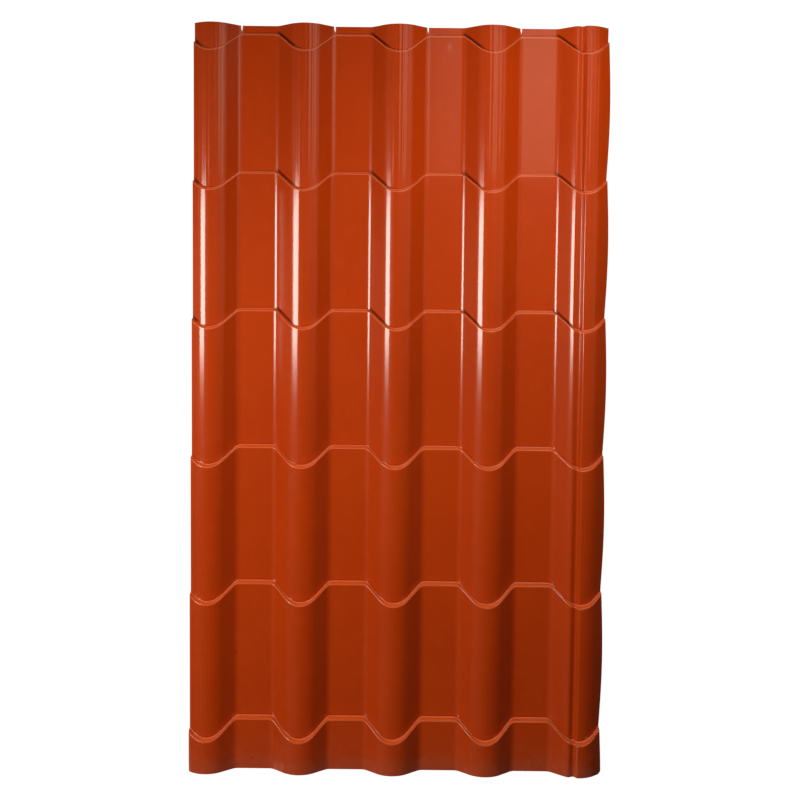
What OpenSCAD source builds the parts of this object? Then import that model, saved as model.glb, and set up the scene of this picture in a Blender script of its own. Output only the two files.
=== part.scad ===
// Metal roofing sheet: one steel sheet, rolled into round ribs and flat pans, then stamped
// across its length into courses that look like clay tiles.
// Millimetres. X runs across the ribs, +Y points down the roof to the eave end, and Z is up.

/* [Sheet] */
// Length of the sheet along its ribs
sheet_length = 1830; // [1500:10:3000]
// Thickness of the painted steel
thickness = 0.5; // [0.4:0.05:1]

/* [Ribs] */
// Number of ribs
rib_count = 5; // [3:1:7]
// Distance from one rib's crown line to the next
rib_pitch = 228; // [190:1:280]
// Height of a rib above the pans beside it
rib_height = 35; // [28:1:42]
// Radius of a rib's round crown
crown_radius = 60; // [50:1:72]
// Slope of a rib's two flanks, in degrees
flank_angle = 35; // [30:1:42]
// Radius of the bend between a flank and the pan
foot_radius = 18; // [10:1:22]

/* [Steps] */
// Length of one tile course, from riser to riser
course_length = 336; // [280:1:410]
// Height of the riser between two courses
step_height = 15; // [12:0.5:20]
// How far a riser bows towards the ridge end where it crosses a crown
scallop = 45; // [30:1:60]
// Lean of a riser from upright, in degrees
riser_lean = 12; // [5:1:20]
// Radius of the bends at the foot and the top of a riser
bend_radius = 4; // [2.5:0.5:5]
// Length of pan between the eave end and the first riser
eave_lip = 21; // [18:1:40]
// Shortest tail of pan that is left past the last riser
shortest_tail = 90; // [80:5:150]

/* [Lap edges] */
// From the first crown line to the edge that laps over the next sheet
over_edge = 42; // [38:1:60]
// From the last crown line to the edge that the next sheet covers
under_edge = 53; // [45:1:62]
// How far the covered edge swells out between two risers
edge_swell = 6.5; // [0:0.5:10]
// Radius of the covered edge's corner at the ridge end
corner_radius = 10; // [5:1:20]

/* [Drain groove] */
// Depth of the groove in the last rib that drains water from under the lap
groove_depth = 8; // [4:0.5:10]
// From the last crown line back to the floor of the groove
groove_offset = 11.5; // [9:0.5:14]
// Width of the groove's long side, away from the crown
groove_long_side = 15.5; // [10:0.5:18]
// Width of the groove's short side, next to the crown
groove_short_side = 9.5; // [7:0.5:12]

/* [Relief slits] */
// Width of the slit at the eave end beside each pan
slit_width = 6; // [3:0.5:8]
// Length of the slit
slit_length = 16; // [8:1:17]

/* [Hidden] */

crown_facets = 6;    // flat facets round one crown
foot_facets = 2;     // round one foot bend
bend_facets = 2;     // round one bend of a riser
groove_facets = 3;   // on each side of the drain groove
swell_facets = 8;    // along the covered edge, in each course
trim = 5;            // spare sheet that is cut off all round

// Across the sheet
crown_half = crown_radius * sin(flank_angle);
crown_drop = crown_radius * (1 - cos(flank_angle));
foot_half = foot_radius * sin(flank_angle);
foot_drop = foot_radius * (1 - cos(flank_angle));
flank_half = (rib_height - crown_drop - foot_drop) / tan(flank_angle);
rib_half = crown_half + flank_half + foot_half;
last_crown = (rib_count - 1) * rib_pitch;
sheet_width = over_edge + last_crown + under_edge + edge_swell;
centre_x = sheet_width / 2 - over_edge;

// Along the sheet
step_count = 1 + floor((sheet_length - eave_lip - shortest_tail) / course_length);
fall_angle = atan(step_height / course_length);
riser_run = step_height * tan(riser_lean);
riser_foot = [-riser_run / 2, riser_run / 2 * tan(fall_angle)];
riser_top = [riser_run / 2, step_height - riser_run / 2 * tan(fall_angle)];
riser_angle = atan2(riser_top.y - riser_foot.y, riser_run);

// Height of the plain rolled profile, x being measured from the first crown line
function profile_z(x) = rib_z(abs(x - rib_pitch * min(rib_count - 1, max(0, round(x / rib_pitch)))));

function rib_z(d) =
    d < crown_half ? rib_height - crown_radius + sqrt(crown_radius ^ 2 - d ^ 2)
    : d < crown_half + flank_half ? rib_height - crown_drop - (d - crown_half) * tan(flank_angle)
    : d < rib_half ? foot_radius - sqrt(foot_radius ^ 2 - (rib_half - d) ^ 2)
    : 0;

// Depth of the drain groove, which eases in and out of the last rib
function groove_z(x) =
    let (past = x - (last_crown - groove_offset),
         side = past < 0 ? groove_long_side : groove_short_side)
    abs(past) < side ? groove_depth * (1 + cos(180 * past / side)) / 2 : 0;

// Places across one rib, from its crown line, where the sheet bends
half_rib_stations = concat(
    [for (i = [1 : crown_facets / 2]) crown_radius * sin(flank_angle * 2 * i / crown_facets)],
    [for (i = [0 : foot_facets]) rib_half - foot_radius * sin(flank_angle * (1 - i / foot_facets))]);
last_station = len(half_rib_stations) - 1;
rib_stations = concat([for (i = [last_station : -1 : 0]) -half_rib_stations[i]], 0, half_rib_stations);

groove_start = -groove_offset - groove_long_side;
groove_end = groove_short_side - groove_offset;
groove_stations = concat(
    [for (i = [0 : groove_facets]) groove_start + groove_long_side * i / groove_facets],
    [for (i = [1 : groove_facets]) groove_short_side * i / groove_facets - groove_offset]);
last_rib_stations = concat(
    [for (s = rib_stations) if (s < groove_start - 1) s],
    groove_stations,
    [for (s = rib_stations) if (s > groove_end + 1) s]);

first_x = -over_edge - trim;
last_x = last_crown + under_edge + edge_swell + trim;
stations = concat(
    first_x,
    [for (rib = [0 : rib_count - 1])
        for (s = rib < rib_count - 1 ? rib_stations : last_rib_stations)
            if (rib * rib_pitch + s > first_x + 1 && rib * rib_pitch + s < last_x - 1) rib * rib_pitch + s],
    last_x);

// Points round a bend of the sheet that takes the place of a sharp corner
function bend(corner, from, to) =
    let (side = sign(to - from),
         start = corner - bend_radius * tan(abs(to - from) / 2) * [cos(from), sin(from)],
         centre = start + side * bend_radius * [-sin(from), cos(from)])
    [for (i = [0 : bend_facets])
        let (a = from + (to - from) * i / bend_facets) centre + side * bend_radius * [sin(a), -cos(a)]];

// One step, as [distance past the riser line towards the ridge, height]
step_path = concat(
    bend(riser_foot, -fall_angle, riser_angle),
    bend(riser_top, riser_angle, -fall_angle));

// Where riser k stands, at x: it follows the rib's shape, so it is bowed at each crown
function riser_y(k, x) =
    sheet_length / 2 - eave_lip - k * course_length - scallop * profile_z(x) / rib_height;

// The sheet's top face along one station, from the eave end to the ridge end
function column(x) =
    let (z = profile_z(x) - groove_z(x),
         eave_y = sheet_length / 2 + trim,
         ridge_y = -sheet_length / 2 - trim)
    concat(
        [[x, eave_y, z + (eave_y - riser_y(0, x)) * tan(fall_angle)]],
        [for (k = [0 : step_count - 1]) for (p = step_path) [x, riser_y(k, x) - p.x, z + p.y]],
        [[x, ridge_y, z + step_height - (riser_y(step_count - 1, x) - ridge_y) * tan(fall_angle)]]);

function unit(v) = v / norm(v);

// Sum of the directions into and out of point i, which is shorter the more a run bends there
function heading(points, i) =
    let (into = i > 0 ? i : 1, out = i < len(points) - 1 ? i : i - 1)
    unit(points[into] - points[into - 1]) + unit(points[out + 1] - points[out]);

// Step from the top face to the underside, longer at a crease so that the wall keeps its thickness
function through(along, across) =
    thickness * unit(cross(along, across)) * 4 / (norm(along) * norm(across));

module stamped_sheet() {
    columns = [for (x = stations) column(x)];
    wide = len(columns);
    long = len(columns[0]);
    rows = [for (j = [0 : long - 1]) [for (i = [0 : wide - 1]) columns[i][j]]];
    upper = [for (i = [0 : wide - 1]) for (j = [0 : long - 1]) columns[i][j]];
    lower = [for (i = [0 : wide - 1]) for (j = [0 : long - 1])
        columns[i][j] - through(heading(columns[i], j), heading(rows[j], i))];
    under = wide * long;
    faces_up = [for (i = [0 : wide - 2]) for (j = [0 : long - 2])
        let (a = i * long + j, b = a + long)
        each [[a, b, b + 1], [a, b + 1, a + 1]]];
    faces_down = [for (f = faces_up) [f[2] + under, f[1] + under, f[0] + under]];
    rim = concat(
        [for (i = [0 : wide - 1]) i * long],
        [for (j = [1 : long - 1]) (wide - 1) * long + j],
        [for (i = [wide - 2 : -1 : 0]) i * long + long - 1],
        [for (j = [long - 2 : -1 : 1]) j]);
    faces_round = [for (n = [0 : len(rim) - 1])
        let (a = rim[n], b = rim[(n + 1) % len(rim)])
        each [[a, a + under, b + under], [a, b + under, b]]];
    lowest = min([for (p = lower) p.z]);
    translate([0, 0, -lowest])
        polyhedron(points = concat(upper, lower), faces = concat(faces_up, faces_down, faces_round));
}

// Plan of the covered edge: drawn in at each riser, and swelling between them
edge_x = last_crown + under_edge;
covered_edge = concat(
    [[edge_x, sheet_length / 2]],
    [for (k = [0 : step_count - 1]) for (i = [0 : swell_facets - 1])
        let (y = riser_y(k, edge_x) - course_length * i / swell_facets)
        if (y > -sheet_length / 2 + 1) [edge_x + edge_swell * sin(180 * i / swell_facets), y]],
    [[edge_x, -sheet_length / 2]]);

module relief_slit() {
    polygon([[-slit_width / 2, trim], [-slit_width / 2, 0], [0, -slit_length], [slit_width / 2, 0],
             [slit_width / 2, trim]]);
}

module sheet_plan() {
    difference() {
        polygon(concat(
            covered_edge,
            [[-over_edge, -sheet_length / 2], [-over_edge, sheet_length / 2]]));
        for (rib = [0 : rib_count - 2])
            translate([rib * rib_pitch + rib_half - foot_half / 2, sheet_length / 2]) relief_slit();
        translate([edge_x - corner_radius, corner_radius - sheet_length / 2])
            difference() {
                translate([0, -corner_radius]) square([corner_radius + edge_swell, corner_radius]);
                circle(r = corner_radius, $fn = 48);
            }
    }
}

module roofing_sheet() {
    color([0.64, 0.22, 0.06])
        translate([-centre_x, 0, 0])
            intersection() {
                stamped_sheet();
                translate([0, 0, -1]) linear_extrude(rib_height + step_height + 2) sheet_plan();
            }
}

roofing_sheet();
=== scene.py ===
import math

import bmesh
import bpy
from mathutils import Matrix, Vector


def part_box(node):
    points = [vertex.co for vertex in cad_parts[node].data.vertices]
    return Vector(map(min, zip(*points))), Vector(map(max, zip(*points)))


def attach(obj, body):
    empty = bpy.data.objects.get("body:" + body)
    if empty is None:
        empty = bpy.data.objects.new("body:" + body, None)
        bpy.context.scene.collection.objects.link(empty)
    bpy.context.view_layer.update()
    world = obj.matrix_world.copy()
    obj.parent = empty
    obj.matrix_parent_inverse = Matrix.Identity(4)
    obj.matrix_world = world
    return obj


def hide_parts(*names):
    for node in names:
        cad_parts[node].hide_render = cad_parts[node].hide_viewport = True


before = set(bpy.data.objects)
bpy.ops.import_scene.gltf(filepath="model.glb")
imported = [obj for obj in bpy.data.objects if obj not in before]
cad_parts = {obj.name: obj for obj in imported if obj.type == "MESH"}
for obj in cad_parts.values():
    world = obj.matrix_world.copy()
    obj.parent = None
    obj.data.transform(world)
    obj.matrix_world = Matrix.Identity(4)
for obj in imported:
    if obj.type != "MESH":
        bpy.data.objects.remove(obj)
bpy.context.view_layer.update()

NODE = "roofing_sheet"
LOW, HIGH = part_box(NODE)
HALF_LENGTH = (HIGH.y - LOW.y) / 2
THICKNESS = 0.0005

# Ribs
RIB_COUNT = 5
RIB_PITCH = 0.228
RIB_HEIGHT = 0.035
CROWN_RADIUS = 0.064
FLANK_ANGLE = math.radians(36.5)
FOOT_RADIUS = 0.024

# Steps
COURSE_LENGTH = 0.336
STEP_HEIGHT = 0.015
SCALLOP = 0.045
RISER_LEAN = math.radians(12)
BEND_RADIUS = 0.003
EAVE_LIP = 0.021
STEP_COUNT = 6

# Lap edges, measured from the first and the last crown line
OVER_EDGE = 0.042
UNDER_EDGE = 0.053
EDGE_SWELL = 0.0065
SWELL_REACH = 0.030
CORNER_RADIUS = 0.010

# Ridge end, which the shears drag down a little
DRAG_LENGTH = 0.042
DRAG_DEPTH = 0.0022

# Drain groove, measured back from the last crown line
GROOVE_DEPTH = 0.008
GROOVE_OFFSET = 0.0115
GROOVE_LONG_SIDE = 0.0155
GROOVE_SHORT_SIDE = 0.0095

# Relief slits beside each pan
SLIT_WIDTH = 0.006
SLIT_LENGTH = 0.016

# Worked out from the sizes
CROWN_HALF = CROWN_RADIUS * math.sin(FLANK_ANGLE)
CROWN_DROP = CROWN_RADIUS * (1 - math.cos(FLANK_ANGLE))
FOOT_HALF = FOOT_RADIUS * math.sin(FLANK_ANGLE)
FOOT_DROP = FOOT_RADIUS * (1 - math.cos(FLANK_ANGLE))
FLANK_HALF = (RIB_HEIGHT - CROWN_DROP - FOOT_DROP) / math.tan(FLANK_ANGLE)
RIB_HALF = CROWN_HALF + FLANK_HALF + FOOT_HALF
LAST_CROWN = (RIB_COUNT - 1) * RIB_PITCH
CENTRE_X = (OVER_EDGE + LAST_CROWN + UNDER_EDGE + EDGE_SWELL) / 2 - OVER_EDGE
FALL = STEP_HEIGHT / COURSE_LENGTH


def spread(start, end, parts):
    """Evenly spaced places from start, leaving out end."""
    return [start + (end - start) * i / parts for i in range(parts)]


# Columns of the mesh: how many parts a bend is in, and the gaps between columns
CROWN_PARTS = 9
FOOT_PARTS = 7
GROOVE_PARTS = (9, 7)
BESIDE_BEND = 0.0007
BESIDE_PAN = 0.017
COLUMN_GAP = 0.001
SAME_PLACE = 1e-5
# Rows of the mesh: how many parts a riser's bend is in, and shares of a slope's length
BEND_PARTS = 5
LIP_SHARES = [0.0, 0.28, 0.55, 0.78, 0.96]
COURSE_SHARES = [0.003] + spread(1 / 12, 1, 11) + [0.997]
TAIL_SHARES = [0.01] + spread(1 / 8, 5 / 8, 4) + spread(5 / 8, 1, 9)
# Cuts that round the covered edge's corner, as turns from the edge, and how far they reach
CORNER_CUTS = spread(0, math.radians(75), 5)
CORNER_REACH = 0.05


# ---------------------------------------------------------------- the rolled profile

def nearest_crown(x):
    """The crown line that x, measured from the first one, belongs to."""
    rib = min(RIB_COUNT - 1, max(0, round(x / RIB_PITCH)))
    return rib * RIB_PITCH


def rib_z(d):
    """Height of one rib at the distance d from its crown line."""
    if d < CROWN_HALF:
        return RIB_HEIGHT - CROWN_RADIUS + math.sqrt(CROWN_RADIUS ** 2 - d ** 2)
    if d < CROWN_HALF + FLANK_HALF:
        return RIB_HEIGHT - CROWN_DROP - (d - CROWN_HALF) * math.tan(FLANK_ANGLE)
    if d < RIB_HALF:
        return FOOT_RADIUS - math.sqrt(FOOT_RADIUS ** 2 - (RIB_HALF - d) ** 2)
    return 0.0


def profile_z(x):
    return rib_z(abs(x - nearest_crown(x)))


def groove_z(x):
    """Depth of the drain groove, which eases in and out of the last rib."""
    past = x - (LAST_CROWN - GROOVE_OFFSET)
    side = GROOVE_LONG_SIDE if past < 0 else GROOVE_SHORT_SIDE
    return GROOVE_DEPTH * (1 + math.cos(math.pi * past / side)) / 2 if abs(past) < side else 0.0


def half_rib_stations():
    """Places from a crown line out to the middle of the pan. A column close to each bend keeps
    the flats flat in shading."""
    flank_end = CROWN_HALF + FLANK_HALF
    crown = [CROWN_RADIUS * math.sin(a) for a in spread(0, FLANK_ANGLE, CROWN_PARTS)]
    flank = [CROWN_HALF, CROWN_HALF + BESIDE_BEND, CROWN_HALF + FLANK_HALF / 2, flank_end - BESIDE_BEND]
    foot = [RIB_HALF - FOOT_RADIUS * math.sin(a) for a in spread(FLANK_ANGLE, 0, FOOT_PARTS)]
    pan = [RIB_HALF, RIB_HALF + BESIDE_BEND] + spread(RIB_HALF + BESIDE_PAN, RIB_PITCH / 2, 2)
    return crown + flank + foot + pan


def across_stations():
    """Every place across the sheet where its mesh has a column, from the first crown line."""
    half = half_rib_stations()
    places = []
    for rib in range(RIB_COUNT):
        crown = rib * RIB_PITCH
        places += [crown - d for d in half[1:]] + [crown + d for d in half]
        if rib < RIB_COUNT - 1:
            places.append(crown + RIB_PITCH / 2)
    floor = LAST_CROWN - GROOVE_OFFSET
    start, end = floor - GROOVE_LONG_SIDE, floor + GROOVE_SHORT_SIDE
    places = [x for x in places if x < start - COLUMN_GAP or x > end + COLUMN_GAP]
    places += spread(start, floor, GROOVE_PARTS[0]) + spread(floor, end, GROOVE_PARTS[1]) + [end]
    left, right = -OVER_EDGE, LAST_CROWN + UNDER_EDGE
    places = [x for x in places if left + COLUMN_GAP < x < right - COLUMN_GAP]
    return sorted(places + [left, right])


# ---------------------------------------------------------------- the stamped steps

def bend(corner, turn_from, turn_to):
    """Points round a bend of the sheet that takes the place of a sharp corner."""
    side = math.copysign(1, turn_to - turn_from)
    back = BEND_RADIUS * math.tan(abs(turn_to - turn_from) / 2)
    start = corner - back * Vector((math.cos(turn_from), math.sin(turn_from)))
    centre = start + side * BEND_RADIUS * Vector((-math.sin(turn_from), math.cos(turn_from)))
    points = []
    for a in spread(turn_from, turn_to, BEND_PARTS) + [turn_to]:
        points.append(centre + side * BEND_RADIUS * Vector((math.sin(a), -math.cos(a))))
    return points


def step_path():
    """One step, as points (distance past the riser line towards the ridge, height)."""
    run = STEP_HEIGHT * math.tan(RISER_LEAN)
    fall_angle = math.atan(FALL)
    foot = Vector((-run / 2, run / 2 * FALL))
    top = Vector((run / 2, STEP_HEIGHT - run / 2 * FALL))
    riser_angle = math.atan2(top.y - foot.y, run)
    return bend(foot, -fall_angle, riser_angle) + bend(top, riser_angle, -fall_angle)


STEP = step_path()


def riser_y(k, x):
    """Where riser k stands at x: it follows the rib's shape, so it is bowed at each crown."""
    return HALF_LENGTH - EAVE_LIP - k * COURSE_LENGTH - SCALLOP * profile_z(x) / RIB_HEIGHT


def along_rows():
    """The rows of the mesh from the eave end, as ("slope", course, share of its length) and
    ("step", riser, point of the step)."""
    rows = [("slope", 0, t) for t in LIP_SHARES]
    for k in range(STEP_COUNT):
        rows += [("step", k, i) for i in range(len(STEP))]
        last = k == STEP_COUNT - 1
        rows += [("slope", k + 1, t) for t in (TAIL_SHARES if last else COURSE_SHARES)]
    return rows + [("slope", STEP_COUNT, 1.0)]


def slope_ends(course, x):
    """Where the slope of a course starts and ends along the sheet at x."""
    start = HALF_LENGTH if course == 0 else riser_y(course - 1, x) - STEP[-1].x
    end = -HALF_LENGTH if course == STEP_COUNT else riser_y(course, x) - STEP[0].x
    return start, end


def edge_shift(x, y):
    """How far the covered edge swells out at y, dying away over the width beside it."""
    share = (x - (LAST_CROWN + UNDER_EDGE - SWELL_REACH)) / SWELL_REACH
    if share <= 0:
        return 0.0
    course = (riser_y(0, LAST_CROWN + UNDER_EDGE) - y) / COURSE_LENGTH
    return EDGE_SWELL * share ** 2 * abs(math.sin(math.pi * course)) if course > 0 else 0.0


def drag(y):
    """How far the sheet is dragged down near its ridge end."""
    share = 1 - (y + HALF_LENGTH) / DRAG_LENGTH
    return DRAG_DEPTH * share ** 2 if share > 0 else 0.0


def place_on_sheet(x, row):
    """The top face's point at one column and row, and how far past the first riser it lies."""
    kind, index, part = row
    if kind == "step":
        y = riser_y(index, x) - STEP[part].x
        rise = STEP[part].y
    else:
        start, end = slope_ends(index, x)
        y = start + (end - start) * part
        above = riser_y(index, x) if index < STEP_COUNT else riser_y(index - 1, x) - COURSE_LENGTH
        rise = (y - above) * FALL
    past = riser_y(0, x) - y
    x += edge_shift(x, y)
    return Vector((x - CENTRE_X, y, profile_z(x) - groove_z(x) + rise - drag(y))), past


# ---------------------------------------------------------------- the sheet's mesh

def roll_and_stamp():
    """A flat blank of squares, moved into the rolled and stamped form."""
    columns = across_stations()
    rows = along_rows()
    bm = bmesh.new()
    bmesh.ops.create_grid(bm, x_segments=len(columns) - 1, y_segments=len(rows) - 1, size=0.5)
    past_riser = bm.verts.layers.float.new("past_riser")
    for v in bm.verts:
        i = round((v.co.x + 0.5) * (len(columns) - 1))
        j = round((0.5 - v.co.y) * (len(rows) - 1))
        v.co, v[past_riser] = place_on_sheet(columns[i], rows[j])
    return bm


def cut_slits(bm):
    """Opens the eave end beside each pan, where the sheet is torn a little by the press."""
    slit_end = HALF_LENGTH - SLIT_LENGTH
    for rib in range(RIB_COUNT - 1):
        x = rib * RIB_PITCH + RIB_HALF - FOOT_HALF / 2 - CENTRE_X
        line = min(bm.verts, key=lambda v: abs(v.co.x - x)).co.x
        seam = [e for e in bm.edges
                if all(abs(v.co.x - line) < SAME_PLACE for v in e.verts)
                and min(v.co.y for v in e.verts) > slit_end - COLUMN_GAP]
        bmesh.ops.split_edges(bm, edges=seam)
        for v in [v for v in bm.verts if abs(v.co.x - line) < SAME_PLACE and v.co.y > slit_end]:
            middle = sum(f.calc_center_median().x for f in v.link_faces) / len(v.link_faces)
            if v.is_boundary and abs(middle - line) >= SAME_PLACE:
                open_share = (v.co.y - slit_end) / SLIT_LENGTH
                v.co.x += math.copysign(SLIT_WIDTH / 2 * open_share, middle - line)


def round_corner(bm):
    """Rounds the covered edge's corner at the ridge end with a few straight cuts."""
    corner = max(v.co.x for v in bm.verts if v.co.y < COLUMN_GAP - HALF_LENGTH)
    centre = Vector((corner - CORNER_RADIUS, CORNER_RADIUS - HALF_LENGTH, 0))
    for turn in CORNER_CUTS:
        outward = Vector((math.cos(turn), -math.sin(turn), 0))
        near = [f for f in bm.faces if (f.calc_center_median() - centre).xy.length < CORNER_REACH]
        around = near + list({e for f in near for e in f.edges})
        around += list({v for f in near for v in f.verts})
        bmesh.ops.bisect_plane(bm, geom=around, dist=1e-6, plane_co=centre + CORNER_RADIUS * outward,
                               plane_no=outward, clear_outer=True)


def solid_shells(bm):
    """Thickens the sheet downwards. Gives its weather face, its underside and its cut edges."""
    if sum(f.normal.z for f in bm.faces) < 0:
        bmesh.ops.reverse_faces(bm, faces=list(bm.faces))
    first = set(bm.verts)
    bmesh.ops.solidify(bm, geom=list(bm.faces), thickness=THICKNESS)
    shells = {True: [], False: [], None: []}
    for f in bm.faces:
        kept = {v in first for v in f.verts}
        shells[kept.pop() if len(kept) == 1 else None].append(f)
    under, upper = sorted((shells[True], shells[False]),
                          key=lambda faces: sum(f.calc_center_median().z for f in faces))
    return upper, under, shells[None]


def trim_to_size(bm):
    """Sets the sheet down on the floor and cuts its edges upright, to its overall size."""
    lowest = min(v.co.z for v in bm.verts)
    for v in bm.verts:
        v.co.x = min(HIGH.x, max(LOW.x, v.co.x))
        v.co.y = min(HIGH.y, max(LOW.y, v.co.y))
        v.co.z = min(HIGH.z, v.co.z - lowest)


def add_object(name, data):
    made = bpy.data.objects.new(name, data)
    bpy.context.scene.collection.objects.link(made)
    return made


def add_mesh(name, bm, finishes):
    """Ends a bmesh as an object that has these finishes."""
    mesh = bpy.data.meshes.new(name)
    bm.to_mesh(mesh)
    bm.free()
    for finish in finishes:
        mesh.materials.append(finish)
    return add_object(name, mesh)


def build_sheet(finishes):
    """The whole sheet. The finishes are those of its weather face, its underside and its edges."""
    bm = roll_and_stamp()
    cut_slits(bm)
    round_corner(bm)
    for slot, faces in enumerate(solid_shells(bm)):
        for f in faces:
            f.smooth = True
            f.material_index = slot
    trim_to_size(bm)
    bm.normal_update()
    for e in bm.edges:
        if len({f.material_index for f in e.link_faces}) > 1:
            e.smooth = False
    return add_mesh("painted_sheet", bm, finishes)


# ---------------------------------------------------------------- how a finish is written

class Wire:
    """One output of a node. Arithmetic on wires adds Math nodes to their finish."""

    def __init__(self, finish, socket):
        self.finish = finish
        self.socket = socket

    def maths(self, operation, *values):
        return self.finish.node("ShaderNodeMath", {"operation": operation}, dict(enumerate(values)))

    def __add__(self, other):
        return self.maths("ADD", self, other)

    def __radd__(self, other):
        return self.maths("ADD", other, self)

    def __sub__(self, other):
        return self.maths("SUBTRACT", self, other)

    def __rsub__(self, other):
        return self.maths("SUBTRACT", other, self)

    def __mul__(self, other):
        return self.maths("MULTIPLY", self, other)

    def __rmul__(self, other):
        return self.maths("MULTIPLY", other, self)

    def power(self, exponent):
        return self.maths("POWER", self, exponent)

    def least(self, other):
        return self.maths("MINIMUM", self, other)

    def most(self, other):
        return self.maths("MAXIMUM", self, other)

    def fold(self, half):
        """Distance from the nearest multiple of twice the half."""
        return self.maths("PINGPONG", self, half)

    def wave(self):
        """Runs between 1 and -1, and is 1 at each whole turn."""
        return self.maths("COSINE", self * (2 * math.pi))

    def ease(self, start, end):
        """Runs smoothly from 0 at start to 1 at end. Start may be the larger."""
        low, high = (0.0, 1.0) if start < end else (1.0, 0.0)
        return self.finish.node(
            "ShaderNodeMapRange", {"interpolation_type": "SMOOTHSTEP"},
            {"Value": self, "From Min": min(start, end), "From Max": max(start, end),
             "To Min": low, "To Max": high})

    def band(self, rise, fall):
        """Eases up over the rise and back down over the fall, each a pair of places."""
        return self.ease(*rise) * self.ease(*reversed(fall))


def pick(sockets, name):
    """A node's socket, by its number, identifier or name."""
    if isinstance(name, int):
        return sockets[name]
    return next(s for s in sockets if name in (s.identifier, s.name))


class Finish:
    """The node tree of one material or of the world."""

    def __init__(self, owner):
        owner.use_nodes = True
        self.owner = owner
        self.tree = owner.node_tree
        self.tree.nodes.clear()

    def node(self, kind, settings=None, sockets=None, out=0):
        """Adds one node: its settings first, then the values and links of its sockets."""
        made = self.tree.nodes.new(kind)
        for name, value in (settings or {}).items():
            setattr(made, name, value)
        for name, value in (sockets or {}).items():
            into = pick(made.inputs, name)
            if isinstance(value, Wire):
                self.tree.links.new(value.socket, into)
            else:
                into.default_value = value
        return Wire(self, pick(made.outputs, out)) if made.outputs else None

    def place(self):
        """Position in metres, in the sheet's own frame."""
        return self.node("ShaderNodeTexCoord", out="Object")

    def past_riser(self):
        """Metres past the first riser, measured along the sheet."""
        return self.node("ShaderNodeAttribute", {"attribute_name": "past_riser"}, out="Fac")

    def axes(self, vector):
        return [self.node("ShaderNodeSeparateXYZ", None, {"Vector": vector}, out=i) for i in range(3)]

    def stretch(self, vector, x, y, z):
        return self.node("ShaderNodeVectorMath", {"operation": "MULTIPLY"}, {0: vector, 1: (x, y, z)})

    def far_from(self, vector, spot):
        return self.node("ShaderNodeVectorMath", {"operation": "DISTANCE"}, {0: vector, 1: spot},
                         out="Value")

    def noise(self, vector, scale, detail=2.0, rough=0.5):
        return self.node("ShaderNodeTexNoise", None,
                         {"Vector": vector, "Scale": scale, "Detail": detail, "Roughness": rough})

    def mix(self, factor, a, b):
        """A colour between a and b."""
        return self.node("ShaderNodeMix", {"data_type": "RGBA"},
                         {"Factor_Float": factor, "A_Color": a, "B_Color": b}, out="Result_Color")

    def ramp(self, value, stops):
        """A number read off a graph of (place, level) stops."""
        low, high = stops[0][0], stops[-1][0]
        top = max(level for place, level in stops)
        wire = self.node("ShaderNodeFloatCurve", None, {"Value": (value - low) * (1 / (high - low))})
        mapping = wire.socket.node.mapping
        points = mapping.curves[0].points
        for place, level in stops[1:-1]:
            points.new((place - low) / (high - low), level / top)
        points[0].location = (0, stops[0][1] / top)
        points[len(points) - 1].location = (1, stops[-1][1] / top)
        mapping.update()
        return wire * top

    def bump(self, height, depth, below=None):
        """A bump of so many metres, added to the one below it."""
        sockets = {"Height": height, "Distance": depth, "Strength": 1.0}
        if below is not None:
            sockets["Normal"] = below
        return self.node("ShaderNodeBump", None, sockets)

    def coat(self, colour, roughness, normal):
        """A layer of paint."""
        return self.node("ShaderNodeBsdfPrincipled", None,
                         {"Base Color": colour, "Roughness": roughness, "Normal": normal,
                          "IOR": PAINT_IOR})

    def close(self, surface, kind="ShaderNodeOutputMaterial"):
        self.node(kind, None, {"Surface": surface})
        return self.owner


def new_finish(name):
    return Finish(bpy.data.materials.new(name))


# ---------------------------------------------------------------- the sheet's finishes

# The paint, what lies on it, and the light and shade painted on it
TERRACOTTA = (0.366, 0.0315, 0.0009, 1)
TERRACOTTA_WEATHERED = (0.385, 0.0365, 0.0018, 1)
TERRACOTTA_DEEP = (0.352, 0.0290, 0.0008, 1)
# Painted sheen: paler paint over each riser
RISER_SHEEN_PAINT = (0.355, 0.0430, 0.0050, 1)
# Painted highlight: pale lines on a riser's two bends
CREST_HIGHLIGHT_PAINT = (0.60, 0.13, 0.055, 1)
# Painted shade: darker paint in the crease at a riser's foot
CREASE_SHADE_PAINT = (0.085, 0.0070, 0.0006, 1)
DUST = (0.52, 0.24, 0.15, 1)
GRIME = (0.10, 0.0100, 0.0020, 1)
# The underside and the cut edges
PRIMER = (0.40, 0.37, 0.32, 1)
PRIMER_PALE = (0.47, 0.44, 0.39, 1)
ZINC = (0.50, 0.49, 0.47, 1)
ZINC_DULL = (0.30, 0.27, 0.25, 1)

# Single marks, each where its middle is. The smudge is long, so its Y is squeezed to 0.6.
SQUEEZE = 0.6
SMUDGE = (0.113, 0.5186, 0.0142)
# A small spot where the paint is darker
DARK_MARK = (-0.3530, -0.8868, 0.0110)
SPOT = (-0.3974, -0.6267, 0.0092)
# Dust and rubs near the ridge end, along the sheet, from where each starts to where it is full
DUSTY = (-0.800, -0.900)
RUBBED = (-0.872, -0.912)
# Places round a riser, measured back from its line towards the ridge
RISER_MIDDLE = 0.0012
FOOT_CREASE = -0.0036
FOOT_CORNER = -0.0062
# The first three risers, where the painted shadow in the foot crease is thickest, fading out past the
# third
SHADED_RISERS = (0.80, 0.70)
# Between two facets that the rolls leave along a crown, and how deep they are
ROLL_SPACING = 0.0098
ROLL_DEPTH = 0.00024
ROLLED_CROWN = (0.029, 0.021)
# The facets are strongest in the first course, at the eave end
ROLLED_COURSE = (0.50, 0.62)
# Gloss of the paint, and the share of it that has gone hazy
PAINT_IOR = 1.5
CLEAR_ROUGHNESS = 0.125
HAZY_ROUGHNESS = 0.30
HAZE = 0.06


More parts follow.
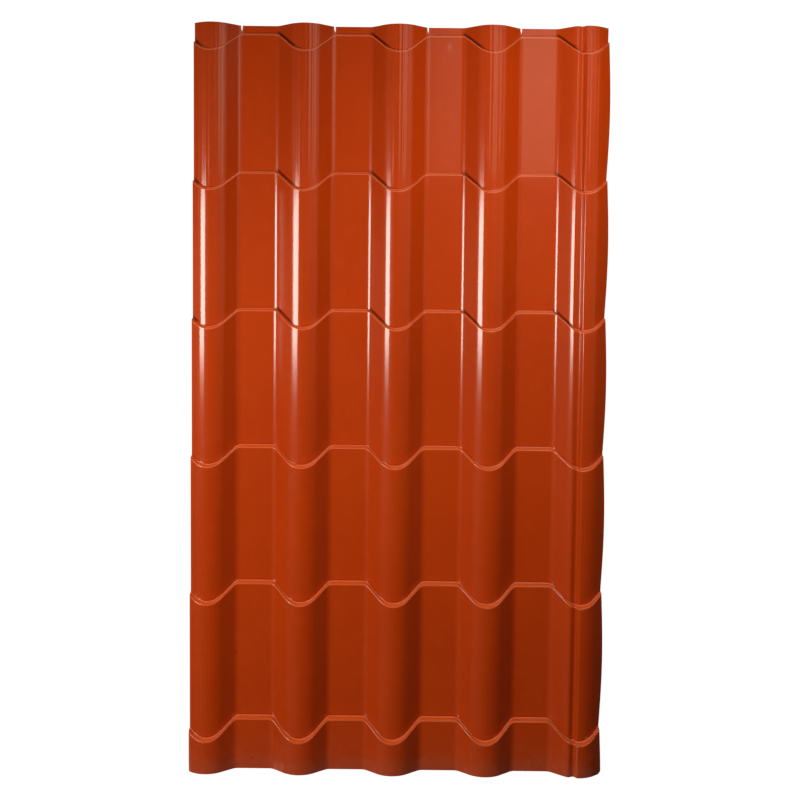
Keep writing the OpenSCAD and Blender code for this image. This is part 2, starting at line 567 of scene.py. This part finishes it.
def marks(f, at):
    """Where the sheet is marked: (dust, grime), each a share of full cover."""
    y = f.axes(at)[1]
    cloud = f.noise(at, 28, 4, 0.65).ease(0.30, 0.70)
    specks = f.noise(at, 520, 2, 0.7).ease(0.50, 0.75)
    rubs = f.noise(f.stretch(at, 1.0, 0.10, 0.4), 60, 3, 0.6).ease(0.30, 0.70)
    ridge = y.ease(*DUSTY) * cloud * (0.35 + 0.65 * specks)
    rim = y.ease(*RUBBED) * rubs
    smudge = f.far_from(f.stretch(at, 1.0, SQUEEZE, 1.0), SMUDGE).ease(0.013, 0.0)
    dark_mark = f.far_from(at, DARK_MARK).ease(0.0050, 0.0015)
    spot = f.far_from(at, SPOT).ease(0.0030, 0.0010)
    dust = ridge * 0.075 + rim * 0.035 + smudge * 0.055
    return dust, (dark_mark * 0.5 + spot * 0.7).least(1.0)


def painted_crease_shade(past, x, from_crown):
    """Painted shade in the crease at a riser's foot: a hairline all along, and a thicker painted shadow
    where the first three risers cross the left flank of a rib."""
    hairline = 0.50 * (past - FOOT_CREASE).fold(COURSE_LENGTH / 2).ease(0.0024, 0.0009)
    left_side = ((x + CENTRE_X) * (1 / RIB_PITCH) + 0.25).wave().ease(0.3, 0.8)
    flank = left_side * from_crown.band((0.012, 0.036), (0.066, 0.075))
    thick = (past - FOOT_CORNER).fold(COURSE_LENGTH / 2).ease(0.0058, 0.0026)
    return hairline + 0.85 * flank * thick * past.ease(*SHADED_RISERS) * (1.0 - hairline)


def terracotta_colour(f, at, mottle, from_crown, dust, grime):
    """The paint's colour: it drifts along the sheet, is paler over each riser as a painted sheen,
    palest on the riser's two bends as painted highlights, darker in the crease at its foot as painted
    shade, and has dust and grime on it."""
    past = f.past_riser()
    from_riser = (past - RISER_MIDDLE).fold(COURSE_LENGTH / 2)
    # Mask of the painted sheen over each riser
    riser = from_riser.ease(0.0046, 0.0028)
    # Mask of the painted highlights on the riser's two bends
    crest_highlight = from_riser.band((0.0018, 0.0028), (0.0037, 0.0046))
    # Painted shade and shadow in the crease at the riser's foot
    crease_shadow = painted_crease_shade(past, f.axes(at)[0], from_crown)
    drift = f.noise(at, 2.6, 3, 0.55).ease(0.38, 0.62)
    colour = f.mix(drift, TERRACOTTA_DEEP, TERRACOTTA)
    for share, over in ((mottle.ease(0.45, 0.75) * 0.5, TERRACOTTA_WEATHERED),
                        (riser, RISER_SHEEN_PAINT), (crest_highlight * 0.52, CREST_HIGHLIGHT_PAINT),
                        (crease_shadow, CREASE_SHADE_PAINT), (dust, DUST), (grime, GRIME)):
        colour = f.mix(share, colour, over)
    return colour


def terracotta_paint():
    """Glossy coil paint, smooth and hard. The rollers leave long faint facets and rubs in it."""
    f = new_finish("terracotta_paint")
    at = f.place()
    x, y = f.axes(at)[:2]
    from_crown = (x + CENTRE_X).fold(RIB_PITCH / 2)
    mottle = f.noise(at, 38, 3, 0.6)
    rolled = f.stretch(at, 1.0, 0.012, 0.3)
    rubs = f.noise(rolled, 420, 2, 0.6)
    bands = f.noise(rolled, 110, 2, 0.5)
    dust, grime = marks(f, at)
    colour = terracotta_colour(f, at, mottle, from_crown, dust, grime)
    clear = CLEAR_ROUGHNESS + 0.035 * rubs.ease(0.50, 0.80) + 0.02 * (mottle - 0.5) + 3.0 * dust
    facets = (from_crown * (1 / ROLL_SPACING)).wave() * from_crown.ease(*ROLLED_CROWN)
    normal = f.bump(facets * (0.15 + 0.85 * y.ease(*ROLLED_COURSE)), ROLL_DEPTH)
    normal = f.bump(bands, 0.00012, normal)
    normal = f.bump(rubs, 0.000010, normal)
    normal = f.bump(f.noise(at, 900, 1, 0.5), 0.000012, normal)
    coats = [f.coat(colour, roughness, normal) for roughness in (clear, HAZY_ROUGHNESS)]
    return f.close(f.node("ShaderNodeMixShader", None,
                          {0: HAZE + 4.0 * dust, 1: coats[0], 2: coats[1]}))


def backer_coat():
    """Thin grey-beige primer on the underside."""
    f = new_finish("backer_coat")
    at = f.place()
    mottle = f.noise(at, 30, 4, 0.6)
    rolled = f.noise(f.stretch(at, 1.0, 0.01, 0.3), 260, 2, 0.6)
    colour = f.mix(mottle.ease(0.35, 0.7), PRIMER, PRIMER_PALE)
    normal = f.bump(f.noise(at, 700, 2, 0.6), 0.000015)
    return f.close(f.coat(colour, 0.42 + 0.08 * (rolled - 0.5), normal))


def cut_steel():
    """Sheared edge: bright zinc and steel."""
    f = new_finish("cut_steel")
    smear = f.noise(f.place(), 900, 2, 0.6)
    colour = f.mix(smear.ease(0.4, 0.6), ZINC, ZINC_DULL)
    surface = f.node("ShaderNodeBsdfPrincipled", None,
                     {"Base Color": colour, "Metallic": 0.8, "Roughness": 0.38 + 0.1 * smear})
    return f.close(surface)


# ---------------------------------------------------------------- the floor

# Half its side, how far it lies below the sheet, and how it shines
FLOOR_REACH = 30
FLOOR_GAP = 0.0005
FLOOR_MATT = (0.5, 0.5, 0.5, 1)
FLOOR_GLOW = 1.10
FLOOR_GLOW_SHARE = 0.90
WHITE = (1, 1, 1, 1)


def light_path(f, *rays):
    """For each kind of ray, 1 on rays of that kind."""
    return [f.node("ShaderNodeLightPath", out=f"Is {ray} Ray") for ray in rays]


def floor_finish():
    """White where it is lit, and a little darker in the sheet's shadow."""
    f = new_finish("floor")
    camera, gloss, glass = light_path(f, "Camera", "Glossy", "Transmission")
    matt = f.node("ShaderNodeBsdfDiffuse", None, {"Color": FLOOR_MATT})
    glow = f.node("ShaderNodeEmission", None, {"Color": WHITE, "Strength": FLOOR_GLOW})
    share = (camera + gloss + glass).least(1.0) * FLOOR_GLOW_SHARE
    return f.close(f.node("ShaderNodeMixShader", None, {0: share, 1: matt, 2: glow}))


def add_floor():
    """A wide floor. Gloss shows the world's pale horizon in its place."""
    bm = bmesh.new()
    bmesh.ops.create_grid(bm, x_segments=1, y_segments=1, size=FLOOR_REACH)
    bmesh.ops.translate(bm, verts=bm.verts, vec=(0, 0, -FLOOR_GAP))
    floor = add_mesh("floor", bm, [floor_finish()])
    floor.visible_glossy = False


# ---------------------------------------------------------------- the room and its lamps

# What gloss shows of the room, as stops of (direction, level). A direction is the share of it that
# points down the roof, or the share of the rest of it that points to the right.
WALL_ALONG = [(-1, 0), (-0.27, 0), (-0.235, 0.03), (-0.19, 0.08), (-0.165, 0.11), (-0.135, 0.18),
              (-0.112, 0.21), (-0.08, 0.31), (-0.035, 0.42), (0, 0.46), (0.05, 0.45), (0.087, 0.58),
              (0.11, 0.72), (0.14, 0.75), (0.16, 0.5), (0.3, 0.5), (0.45, 0.35), (1, 0.3)]
WALL_ACROSS = [(-1, 0), (-0.14, 0), (0, 0.1), (0.14, 0.33), (0.28, 0.42), (0.41, 0.48), (0.53, 0.5),
               (0.64, 0.58), (0.74, 0.86), (0.81, 0.98), (0.857, 0.9), (0.885, 0.35), (0.905, 0),
               (1, 0)]
GLOW_ALONG = [(-1, 0.12), (-0.45, 0.13), (-0.40, 0.14), (-0.373, 0.12), (-0.33, 0.11),
              (-0.297, 0.12), (-0.263, 0.17), (-0.234, 0.21), (-0.188, 0.24), (-0.135, 0.27),
              (-0.08, 0.31), (-0.035, 0.35), (0, 0.33), (0.04, 0.27), (0.06, 0.20), (0.087, 0.13),
              (0.132, 0.09), (1, 0.09)]
GLOW_ACROSS = [(-1, 0), (-0.955, 0), (-0.93, 0.25), (-0.89, 1.1), (-0.77, 1.0), (-0.53, 0.85),
               (-0.28, 0.55), (-0.14, 0.32), (0, 0.2), (0.14, 0.15), (0.28, 0.12), (0.64, 0.06),
               (1, 0)]
SIDE_ALONG = [(-1, 0.03), (-0.25, 0.04), (-0.13, 0.16), (-0.08, 0.28), (-0.04, 0.36), (0, 0.30),
              (0.02, 0.16), (0.04, 0.04), (1, 0.03)]
SIDE_ACROSS = (-0.925, -0.945)
# The wall past the ridge end, and the strip light in front of the eave end
RIDGE_ALONG = (-0.49, -0.58)
RIDGE_WALL = 0.30
FRONT_ALONG = ((0.42, 0.48), (0.52, 0.58))
FRONT_ACROSS = ((-0.2, 0.3), (0.6, 0.85))
FRONT_LIGHT = 12.0
# The room's own light, and the colours of what gloss shows
ROOM_LIGHT = 0.035
ROOM_COLOUR = (1.0, 0.94, 0.66, 1)
FRONT_COLOUR = (1.0, 0.80, 0.50, 1)

# The big softbox on the left: its outer and its inner long edge, each as (x, z)
KEY_OUTER = (-3.505, 2.6)
KEY_INNER = (-2.05, 3.2)
KEY_COLOUR = (1.0, 0.98, 0.87)
# Two pale cards over the first course: their middle along the sheet, height and length
CARD_MIDDLE = 0.865
CARD_HEIGHT = 0.85
CARD_LENGTH = 0.57
CARD_COLOUR = (1.0, 0.95, 0.62)


def seen_room(f, across, down_roof):
    """The room as gloss shows it: (level, share of the front strip light)."""
    wall = f.ramp(down_roof, WALL_ALONG) * f.ramp(across, WALL_ACROSS)
    glow = f.ramp(down_roof, GLOW_ALONG) * f.ramp(across, GLOW_ACROSS)
    side = f.ramp(down_roof, SIDE_ALONG) * across.ease(*SIDE_ACROSS)
    ridge = down_roof.ease(*RIDGE_ALONG) * RIDGE_WALL
    front = across.band(*FRONT_ACROSS) * down_roof.band(*FRONT_ALONG)
    return wall + glow + side + ridge + front * FRONT_LIGHT, front


def set_world():
    """A dim room. What gloss shows of it is a pale wall on the right, brighter down the roof, a
    faint glow from the left, a strip light in front, and a white horizon behind the object."""
    world = bpy.data.worlds.new("studio")
    bpy.context.scene.world = world
    f = Finish(world)
    right, down_roof, up = f.axes(f.node("ShaderNodeTexCoord", out="Generated"))
    across = right * (1.0 - down_roof * down_roof).most(0.0001).power(-0.5)
    camera, gloss, glass = light_path(f, "Camera", "Glossy", "Transmission")
    mirrored = (gloss + glass).least(1.0)
    seen, front = seen_room(f, across, down_roof)
    room = seen * up.ease(0.0, 0.05) * mirrored + ROOM_LIGHT
    white = (camera + mirrored * up.ease(0.05, 0.0) * across.ease(0.7, 0.4)).least(1.0)
    tint = f.mix(mirrored, WHITE, f.mix(front, ROOM_COLOUR, FRONT_COLOUR))
    f.close(f.node("ShaderNodeBackground", None,
                   {"Color": tint, "Strength": room + (1.0 - room) * white}),
            "ShaderNodeOutputWorld")


def add_lamp(name, place, aim, size, radiance, mirrored=False, spread_angle=180, colour=(1, 1, 1)):
    """A softbox, which looks white at a radiance of 1. Gloss shows only the mirrored ones."""
    lamp = bpy.data.lights.new(name, "AREA")
    lamp.shape = "RECTANGLE"
    lamp.size, lamp.size_y = size
    lamp.spread = math.radians(spread_angle)
    lamp.energy = radiance * math.pi * size[0] * size[1]
    lamp.color = colour
    softbox = add_object(name, lamp)
    softbox.location = place
    softbox.rotation_euler = (Vector(aim) - Vector(place)).to_track_quat("-Z", "Y").to_euler()
    softbox.visible_camera = False
    softbox.visible_glossy = mirrored


def add_key_panel(name, start, end, radiance):
    """A part of the big softbox, from start to end along the sheet."""
    outer, inner = Vector(KEY_OUTER), Vector(KEY_INNER)
    wide = inner - outer
    x, z = (outer + inner) / 2
    middle = Vector((x, (start + end) / 2, z))
    add_lamp(name, middle, middle + Vector((wide.y, 0, -wide.x)), (end - start, wide.length), radiance,
             mirrored=True, colour=KEY_COLOUR)


def add_card(name, x, width, radiance):
    """A pale card that hangs flat over the first course, and shines on its pans."""
    add_lamp(name, (x, CARD_MIDDLE, CARD_HEIGHT), (x, CARD_MIDDLE, 0), (width, CARD_LENGTH), radiance,
             mirrored=True, colour=CARD_COLOUR)


def light_studio():
    set_world()
    add_key_panel("key_softbox", -0.360, 0.60, 18.5)
    add_key_panel("key_spill", -0.45, -0.362, 8)
    add_key_panel("key_spill_far", -0.60, -0.452, 2)
    add_lamp("left_fill", (-1.12, 0.99, 1.04), (-0.19, -1.0, 0), (0.8, 0.8), 3.5, spread_angle=88)
    add_lamp("right_fill", (0.60, 1.11, 0.86), (0.04, -0.42, 0), (0.8, 0.8), 4.75, spread_angle=121)
    add_lamp("riser_fill", (0.0, 7.5, 0.38), (0, 0.1, 0), (3.0, 0.6), 30)
    add_card("dim_card", 0.165, 0.17, 0.49)
    add_card("pale_card", 0.435, 0.37, 0.98)
    add_lamp("eave_fill", (0.42, 0.76, 1.3), (0.42, 0.76, 0), (0.6, 0.6), 0.28, spread_angle=70)


def add_camera():
    """Looks straight down from over the middle of the sheet, a little towards its eave end."""
    camera = bpy.data.cameras.new("camera")
    camera.lens = 47.52
    camera.sensor_width = 36
    camera.shift_y = -0.1
    viewer = add_object("camera", camera)
    viewer.location = (0, 0.248, 2.600)
    viewer.rotation_euler = [math.radians(turn) for turn in (-1.09, 0.02, 0.63)]
    bpy.context.scene.camera = viewer


# ---------------------------------------------------------------- all of it

sheet = build_sheet([terracotta_paint(), backer_coat(), cut_steel()])
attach(sheet, "root")
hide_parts(NODE)
add_floor()
light_studio()
add_camera()
bpy.context.scene.view_settings.view_transform = "Standard"
